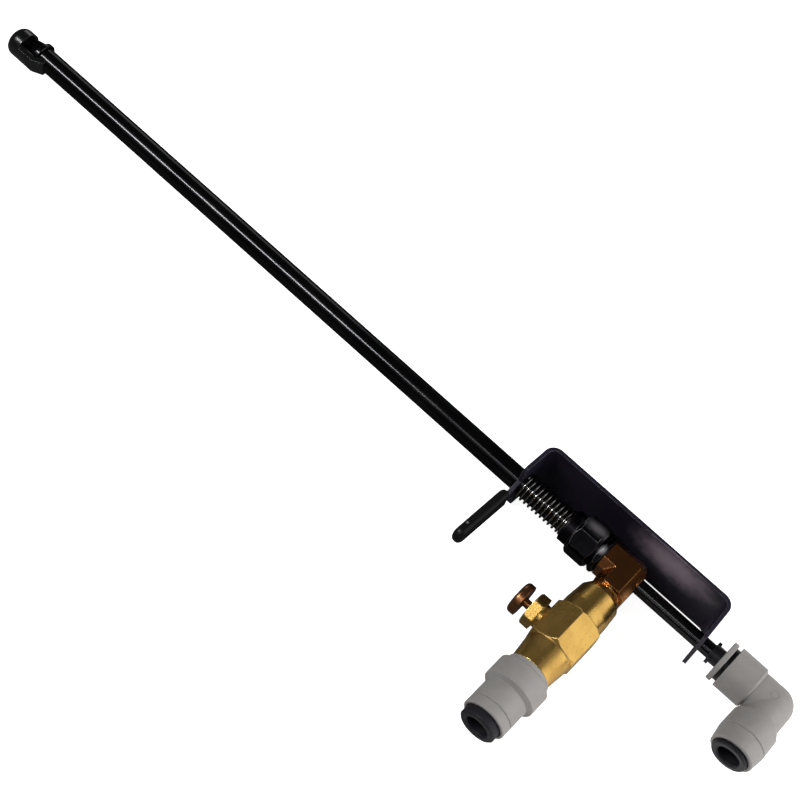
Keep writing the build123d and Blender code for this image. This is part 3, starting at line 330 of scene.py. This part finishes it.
# nut and ferrules, black with a faint grey highlight painted on the top facet of the nut
fittingLook = dict(
    steelLook, base=(0.005, 0.0045, 0.006), patch=(0.010, 0.009, 0.012), worn=(0.55, 0.54, 0.55),
    patchScale=120.0,
    grainStretch=(1.0, 0.05, 0.05), grainScale=1600.0, grainColor=(0.022, 0.021, 0.024),
    edgeWidth=0.0005, edgeAmount=0.75,
    roughLow=0.26, roughHigh=0.42, bumpStrength=0.12, bumpDistance=0.00008,
    # painted highlight: the top facet of the nut painted matt grey where light from above falls on it
    spot={"centre": (35.3, 2.9, 8.6), "radii": (9.0, 5.0, 4.0),
          "color": (0.100, 0.095, 0.105), "metallic": 0.1},
)
finishes["fitting"] = makeFinish("blackenedFittingSteel", fittingLook)

# the body they screw to, with a small silver glint painted on its hex
paintedGlintHexLook = dict(
    fittingLook,
    # painted glint: a small pale, partly metallic spot on the hex
    spot={"centre": (41.4, -3.2, 8.2), "radii": (3.0, 3.4, 3.0),
          "color": (0.36, 0.35, 0.37), "metallic": 0.4},
)
finishes["paintedGlintHex"] = makeFinish("paintedGlintFittingSteel", paintedGlintHexLook)

brassLook = {
    "base": (0.72, 0.43, 0.105), "patch": (0.52, 0.29, 0.065), "worn": (0.95, 0.74, 0.36),
    "patchScale": 70.0, "patchLow": 0.44, "patchHigh": 0.70, "patchRough": 0.10,
    "grainStretch": (1.0, 0.03, 1.0), "grainScale": 1500.0,
    "grainTint": 0.45, "grainColor": (0.86, 0.58, 0.19),
    "edgeWidth": 0.0005, "edgeAmount": 0.8,
    "speckScale": 700.0, "speckSize": 0.12,
    "speckTint": 0.45, "speckColor": (0.30, 0.16, 0.04), "speckDepth": 0.5,
    "roughLow": 0.16, "roughHigh": 0.34, "bumpStrength": 0.35, "bumpDistance": 0.00014,
    "metallic": 1.0,
}
finishes["brass"] = makeFinish("turnedBrass", brassLook)

# the elbow's brown brass, with a bright orange highlight painted on one edge
darkBrassLook = dict(
    brassLook, base=(0.27, 0.10, 0.032), patch=(0.17, 0.07, 0.024), worn=(0.95, 0.48, 0.17),
    patchScale=60.0, patchRough=0.04,
    grainStretch=(1.0, 1.0, 1.0), grainScale=900.0, grainColor=(0.30, 0.12, 0.038),
    edgeWidth=0.0003, speckTint=0.12, speckDepth=0.15,
    roughLow=0.18, roughHigh=0.36, bumpStrength=0.08,
    # painted highlight: a bright orange, partly metallic patch on the elbow's edge beside the nipple
    spot={"centre": (60.0, -9.5, 2.0), "radii": (4.0, 6.0, 5.5),
          "color": (0.80, 0.34, 0.12), "metallic": 0.55},
)
finishes["darkBrass"] = makeFinish("forgedBrass", darkBrassLook)

buttonLook = dict(
    brassLook, base=(0.36, 0.16, 0.07), patch=(0.20, 0.085, 0.045), worn=(0.92, 0.66, 0.40),
    grainStretch=(0.1, 1.0, 1.0), grainScale=900.0, grainColor=(0.30, 0.12, 0.038),
    edgeWidth=0.0003, speckTint=0.12, bumpStrength=0.1,
)
finishes["button"] = makeFinish("buttonBrass", buttonLook)

# moulded acetal bodies
greyLook = {
    "base": (0.212, 0.201, 0.195), "patch": (0.255, 0.242, 0.232), "worn": (0.50, 0.49, 0.47),
    "patchScale": 45.0, "patchLow": 0.35, "patchHigh": 0.7, "patchRough": 0.08,
    "grainStretch": (1.0, 1.0, 1.0), "grainScale": 2400.0,
    "grainTint": 0.25, "grainColor": (0.35, 0.335, 0.32),
    "edgeWidth": 0.0006, "edgeAmount": 0.45,
    "speckScale": 1500.0, "speckSize": 0.10,
    "speckTint": 0.35, "speckColor": (0.17, 0.165, 0.16), "speckDepth": 0.5,
    "roughLow": 0.38, "roughHigh": 0.56, "bumpStrength": 0.25, "bumpDistance": 0.00008,
    "metallic": 0.0,
}
finishes["grey"] = makeFinish("greyAcetal", greyLook)

charcoalLook = dict(
    greyLook, base=(0.006, 0.006, 0.009), patch=(0.011, 0.011, 0.015), worn=(0.07, 0.07, 0.08),
    grainColor=(0.018, 0.018, 0.022), speckColor=(0.05, 0.05, 0.05),
    roughLow=0.34, roughHigh=0.50, specular=0.25,
)
finishes["charcoal"] = makeFinish("charcoalAcetal", charcoalLook)

rubberLook = dict(
    greyLook, base=(0.0014, 0.0014, 0.0018), patch=(0.003, 0.003, 0.0035), worn=(0.012, 0.012, 0.013),
    grainScale=1500.0, grainColor=(0.0045, 0.0045, 0.005),
    speckTint=0.3, speckColor=(0.010, 0.010, 0.010),
    roughLow=0.28, roughHigh=0.46, bumpStrength=0.3, specular=0.25,
)
finishes["rubber"] = makeFinish("blackRubber", rubberLook)

# the sleeve has one tiny pale dot painted on it
sleeveLook = dict(
    rubberLook,
    spot={"centre": (-2.0, -31.0, 3.6), "radii": (0.9, 0.9, 1.2),
          "color": (0.32, 0.31, 0.33), "metallic": 0.0},
)
finishes["sleeve"] = makeFinish("sleeveRubber", sleeveLook)

# the stopper is smoother and shinier
stopperLook = dict(rubberLook, roughLow=0.16, roughHigh=0.26, bumpStrength=0.12, specular=0.5)
finishes["stopper"] = makeFinish("stopperRubber", stopperLook)
print("finishes ready:", len(finishes))

# which CAD nodes wear which finish
wearers = {
    "tube": ["gas_tube", "beer_tube", "nozzle_collar", "stopper_tang"],
    "sheet": ["bracket"],
    "spring": ["gas_teeth", "beer_teeth"],
    "fitting": ["compression_nut", "back_ferrule", "front_ferrule"],
    "paintedGlintHex": ["fitting_body"],
    "brass": ["neck_nipple", "valve_body", "valve_bonnet", "valve_plug"],
    "darkBrass": ["brass_elbow", "gland_bush"],
    "button": ["valve_button", "valve_stem"],
    "grey": ["gas_adaptor", "gas_cap", "inlet_cap", "elbow_body", "outlet_cap"],
    "charcoal": ["gas_collet", "beer_collet", "inlet_collet"],
    "sleeve": ["trigger_sleeve"],
    "stopper": ["tip_stopper"],
    "rubber": ["gland_ring", "stem_ring", "poppet_seal", "gas_ring", "cap_band", "inlet_ring", "beer_ring"],
}


def dress(obj, finish):
    obj.data.materials.clear()
    obj.data.materials.append(finishes[finish])


for finish, names in wearers.items():
    for name in names:
        dress(nodes[name], finish)


def meshObject(name, bm, finish, body):
    bmesh.ops.recalc_face_normals(bm, faces=bm.faces)
    mesh = bpy.data.meshes.new(name)
    bm.to_mesh(mesh)
    bm.free()
    mesh.shade_smooth()
    obj = bpy.data.objects.new(name, mesh)
    bpy.context.scene.collection.objects.link(obj)
    dress(obj, finish)
    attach(obj, body)
    return obj


# skins a row of rings; a closed row joins its last ring to its first, an open one gets two ends
def skinRings(bm, rings, closed=False):
    following = rings[1:] + rings[:1] if closed else rings[1:]
    for first, second in zip(rings, following):
        for k in range(len(first)):
            n = (k + 1) % len(first)
            bm.faces.new((first[k], first[n], second[n], second[k]))
    if not closed:
        bm.faces.new(rings[0][::-1])
        bm.faces.new(rings[-1])


# sweeps a round or pointed section along a list of centres that wind round the X axis
def sweepAround(bm, centres, section):
    rings = []
    for index, centre in enumerate(centres):
        before = centres[max(index - 1, 0)]
        after = centres[min(index + 1, len(centres) - 1)]
        along = (after - before).normalized()
        outward = Vector((0, centre.y, centre.z)).normalized()
        side = along.cross(outward).normalized()
        outward = side.cross(along).normalized()
        rings.append([bm.verts.new(centre + outward * out + side * over) for out, over in section])
    skinRings(bm, rings)


# wound springs with closed coils at both ends
# wire and travel are in mm, closed and ease in turns, closedPitch in thicknesses of the wire
springs = {
    "returnSpring": {
        "node": "main_spring", "wire": 0.9, "coils": 12, "closed": 1.0, "closedPitch": 1.02, "ease": 0.5,
        "steps": 40, "sides": 10, "joint": "trigger_pull", "travel": 5.0,
    },
    "valveSpring": {
        "node": "valve_spring", "wire": 0.5, "coils": 6, "closed": 1.0, "closedPitch": 1.02, "ease": 0.5,
        "steps": 32, "sides": 8, "joint": "button_push", "travel": 2.8,
    },
}


def makeSpring(name, coil):
    low, high = (Vector(corner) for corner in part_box(coil["node"]))
    wire = coil["wire"] * mm
    radius = (high.z - low.z - wire) / 2
    axisY = (low.y + high.y) / 2
    start, end = low.x + wire / 2, high.x - wire / 2
    closedRise = wire * coil["closedPitch"]
    openRise = (end - start - 2 * coil["closed"] * closedRise) / (coil["coils"] - 2 * coil["closed"])
    centres = []
    x = start
    for i in range(int(coil["coils"] * coil["steps"]) + 1):
        turn = i / coil["steps"]
        angle = 2 * math.pi * turn
        centres.append(Vector((x, radius * math.sin(angle), radius * math.cos(angle))))
        fromEnd = min(turn, coil["coils"] - turn)
        opened = (fromEnd - coil["closed"] + coil["ease"] / 2) / coil["ease"]
        x += (closedRise + (openRise - closedRise) * min(max(opened, 0.0), 1.0)) / coil["steps"]
    stretch = (end - start) / (centres[-1].x - start)
    for centre in centres:
        centre.x = start + (centre.x - start) * stretch
    section = []
    for k in range(coil["sides"]):
        angle = 2 * math.pi * k / coil["sides"]
        section.append((wire / 2 * math.cos(angle), wire / 2 * math.sin(angle)))
    bm = bmesh.new()
    sweepAround(bm, centres, section)
    bm.transform(Matrix.Translation((0, axisY, 0)))
    spring = meshObject(name, bm, "spring", "grip")
    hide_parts(coil["node"])
    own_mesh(spring)


for name, coil in springs.items():
    makeSpring(name, coil)
print("springs made")

# the bare thread left showing on the nipple between elbow and valve, in mm; inset and foot, half the
# thread's width where it starts, are shares of the pitch, and crest is a share of foot
neckThread = {
    "axisX": 53.5, "top": 11.6, "end": 12.95, "radius": 6.0, "depth": 0.28, "sunk": 0.1,
    "pitch": 0.62, "inset": 0.3, "foot": 0.42, "crest": 0.25, "steps": 48,
}


def makeNeckThread(thread):
    pitch = thread["pitch"] * mm
    radius = thread["radius"] * mm
    turns = (thread["end"] - thread["top"]) / thread["pitch"] - 2 * thread["inset"]
    centres = []
    for i in range(int(turns * thread["steps"]) + 1):
        turn = i / thread["steps"]
        angle = 2 * math.pi * turn
        along = thread["top"] * mm + pitch * (thread["inset"] + turn)
        centres.append(Vector((along, radius * math.sin(angle), radius * math.cos(angle))))
    foot = pitch * thread["foot"]
    crest = foot * thread["crest"]
    sunk, proud = -thread["sunk"] * mm, thread["depth"] * mm
    bm = bmesh.new()
    sweepAround(bm, centres, [(sunk, -foot), (proud, -crest), (proud, crest), (sunk, foot)])
    turnToValve = Matrix.Translation((thread["axisX"] * mm, 0, 0)) @ Matrix.Rotation(-math.pi / 2, 4, "Z")
    bm.transform(turnToValve)
    return meshObject("neckThread", bm, "brass", "grip")


makeNeckThread(neckThread)
print("neck thread made")

# moulding mark on top of the rear elbow: a low ring that follows the round of its run, in mm;
# crest is its top as a share of its width
mouldMark = {
    "x": 125.7, "y": -0.3, "runRadius": 8.05, "radius": 1.6, "wide": 0.42, "crest": 0.5,
    "proud": 0.12, "sunk": 0.25, "steps": 48,
}


def makeMouldMark(mark):
    foot = mark["wide"] / 2
    crest = foot * mark["crest"]
    sunk, proud = -mark["sunk"], mark["proud"]
    section = [(-foot, sunk), (-crest, proud), (crest, proud), (foot, sunk)]
    bm = bmesh.new()
    rings = []
    for i in range(mark["steps"]):
        angle = 2 * math.pi * i / mark["steps"]
        ring = []
        for across, up in section:
            radius = mark["radius"] + across
            x = mark["x"] + radius * math.cos(angle)
            y = mark["y"] + radius * math.sin(angle)
            z = math.sqrt(mark["runRadius"] ** 2 - y * y) + up
            ring.append(bm.verts.new((x * mm, y * mm, z * mm)))
        rings.append(ring)
    skinRings(bm, rings, closed=True)
    return meshObject("mouldMark", bm, "grey", "swivel")


makeMouldMark(mouldMark)
print("mould mark made")

# pale floor that glows for the camera alone, so that only faint shadows lie on it; reflections show
# it dark up to mirrorFrom along X and pale from mirrorTo on
studioFloor = {
    "size": 8.0, "drop": 0.0002, "color": (0.90, 0.90, 0.90), "glow": 0.86, "rough": 0.6, "specular": 0.1,
    "mirrorDark": (0.13, 0.13, 0.13), "mirrorPale": (0.95, 0.93, 0.90),
    "mirrorFrom": 0.04, "mirrorTo": 0.10,
}


def makeFloor(look):
    bm = bmesh.new()
    bmesh.ops.create_grid(bm, x_segments=1, y_segments=1, size=look["size"] / 2)
    mesh = bpy.data.meshes.new("studioFloor")
    bm.to_mesh(mesh)
    bm.free()
    floor = bpy.data.objects.new("studioFloor", mesh)
    floor.location = (0, 0, cadLow.z - look["drop"])
    bpy.context.scene.collection.objects.link(floor)
    material = bpy.data.materials.new("paleFloor")
    material.use_nodes = True
    tree = material.node_tree
    path = addNode(tree, "ShaderNodeLightPath", (-700, 0))
    coords = addNode(tree, "ShaderNodeTexCoord", (-1300, 200))
    across = addNode(tree, "ShaderNodeSeparateXYZ", (-1100, 200))
    feed(tree, across.inputs[0], coords.outputs["Object"])
    paler = rangeNode(tree, (-900, 200), across.outputs["X"],
                      From_Min=look["mirrorFrom"], From_Max=look["mirrorTo"])
    mirrored = mixColor(tree, (-650, 250), paler, look["mirrorDark"], look["mirrorPale"])
    color = mixColor(tree, (-400, 150), path.outputs["Is Glossy Ray"], look["color"], mirrored)
    glow = mathNode(tree, "MULTIPLY", (-400, -150), path.outputs["Is Camera Ray"], look["glow"])
    setInputs(tree, tree.nodes["Principled BSDF"], Base_Color=color, Roughness=look["rough"],
              Specular_IOR_Level=look["specular"], Emission_Color=rgba((1, 1, 1)), Emission_Strength=glow)
    mesh.materials.append(material)


# white room for the camera, soft fill for matt surfaces, dimmer walls in reflections
studioSky = {"fill": 0.14, "gloss": 0.08, "seen": 1.0}


def makeSky(sky):
    world = bpy.data.worlds.new("studioWorld")
    bpy.context.scene.world = world
    world.use_nodes = True
    tree = world.node_tree
    path = addNode(tree, "ShaderNodeLightPath", (-700, 0))
    matt = mathNode(tree, "MULTIPLY_ADD", (-450, 0), path.outputs["Is Glossy Ray"],
                    sky["gloss"] - sky["fill"], sky["fill"])
    seen = mathNode(tree, "MULTIPLY_ADD", (-250, 0), path.outputs["Is Camera Ray"],
                    sky["seen"] - sky["fill"], matt)
    setInputs(tree, tree.nodes["Background"], Color=rgba((1, 1, 1)), Strength=seen)


makeFloor(studioFloor)
makeSky(studioSky)

# soft boxes: place, aim and size in metres, and brightness; all but the first show in reflections
softBoxes = {
    "washBox": {"place": (1.02, 0.28, 0.47), "aim": (0.05, 0, 0), "size": (0.9, 0.9), "bright": 5.2,
                "mirrored": False},
    "streakCard": {"place": (0.38, 0.46, 0.8), "aim": (0.05, -0.04, 0), "size": (0.1, 0.45), "bright": 1.6},
    "goldCard": {"place": (0.9, 0.34, 0.44), "aim": (0.05, -0.04, 0), "size": (1.2, 0.7), "bright": 1.1},
    "backCard": {"place": (-0.55, 0.85, 0.3), "aim": (0.03, 0, 0), "size": (0.5, 0.35), "bright": 1.6},
    "eyeCard": {"place": (-0.03, -0.95, 1.15), "aim": (0.03, -0.04, 0), "size": (0.5, 0.5), "bright": 0.7},
    "tubeStrip": {"place": (-0.45, -0.35, 0.63), "aim": (-0.18, 0, 0), "size": (0.42, 0.05), "bright": 60},
    "coilStrip": {"place": (-0.07, -0.36, 0.64), "aim": (0.01, 0, 0), "size": (0.18, 0.03), "bright": 11},
    "rodStrip": {"place": (0.06, -0.36, 0.66), "aim": (0.08, 0, 0), "size": (0.1, 0.03), "bright": 14},
    "rodEdge": {"place": (0.07, -0.6, 0.42), "aim": (0.08, 0, 0), "size": (0.07, 0.03), "bright": 9},
}


# power is brightness times pi times the panel's area; the first side of size runs near to X
def makeSoftBox(name, box):
    data = bpy.data.lights.new(name, "AREA")
    data.shape = "RECTANGLE"
    data.size, data.size_y = box["size"]
    data.energy = box["bright"] * math.pi * data.size * data.size_y
    lamp = bpy.data.objects.new(name, data)
    lamp.location = box["place"]
    back = (Vector(box["place"]) - Vector(box["aim"])).normalized()
    side = (Vector((1, 0, 0)) - back * back.x).normalized()
    lamp.rotation_euler = Matrix((side, back.cross(side), back)).transposed().to_euler()
    lamp.visible_glossy = box.get("mirrored", True)
    bpy.context.scene.collection.objects.link(lamp)


for name, box in softBoxes.items():
    makeSoftBox(name, box)

# the photograph's viewpoint, in the frame of the part
viewpoint = {
    "place": (0.09844, -0.34955, 0.62690),
    "right": (0.7284, 0.6612, 0.1795),
    "up": (-0.6514, 0.5873, 0.4803),
    "lens": 83.34,
    "sensor": 36.0,
    "near": 0.01,
    "far": 50.0,
}


def makeCamera(view):
    data = bpy.data.cameras.new("photoCamera")
    data.sensor_width = view["sensor"]
    data.lens = view["lens"]
    data.clip_start, data.clip_end = view["near"], view["far"]
    camera = bpy.data.objects.new("photoCamera", data)
    right = Vector(view["right"]).normalized()
    up = Vector(view["up"])
    up = (up - right * up.dot(right)).normalized()
    turn = Matrix((right, up, right.cross(up))).transposed().to_4x4()
    camera.matrix_world = Matrix.Translation(view["place"]) @ turn
    bpy.context.scene.collection.objects.link(camera)
    bpy.context.scene.camera = camera


makeCamera(viewpoint)
bpy.context.scene.view_settings.view_transform = "Standard"
print("stage, lights and camera ready")
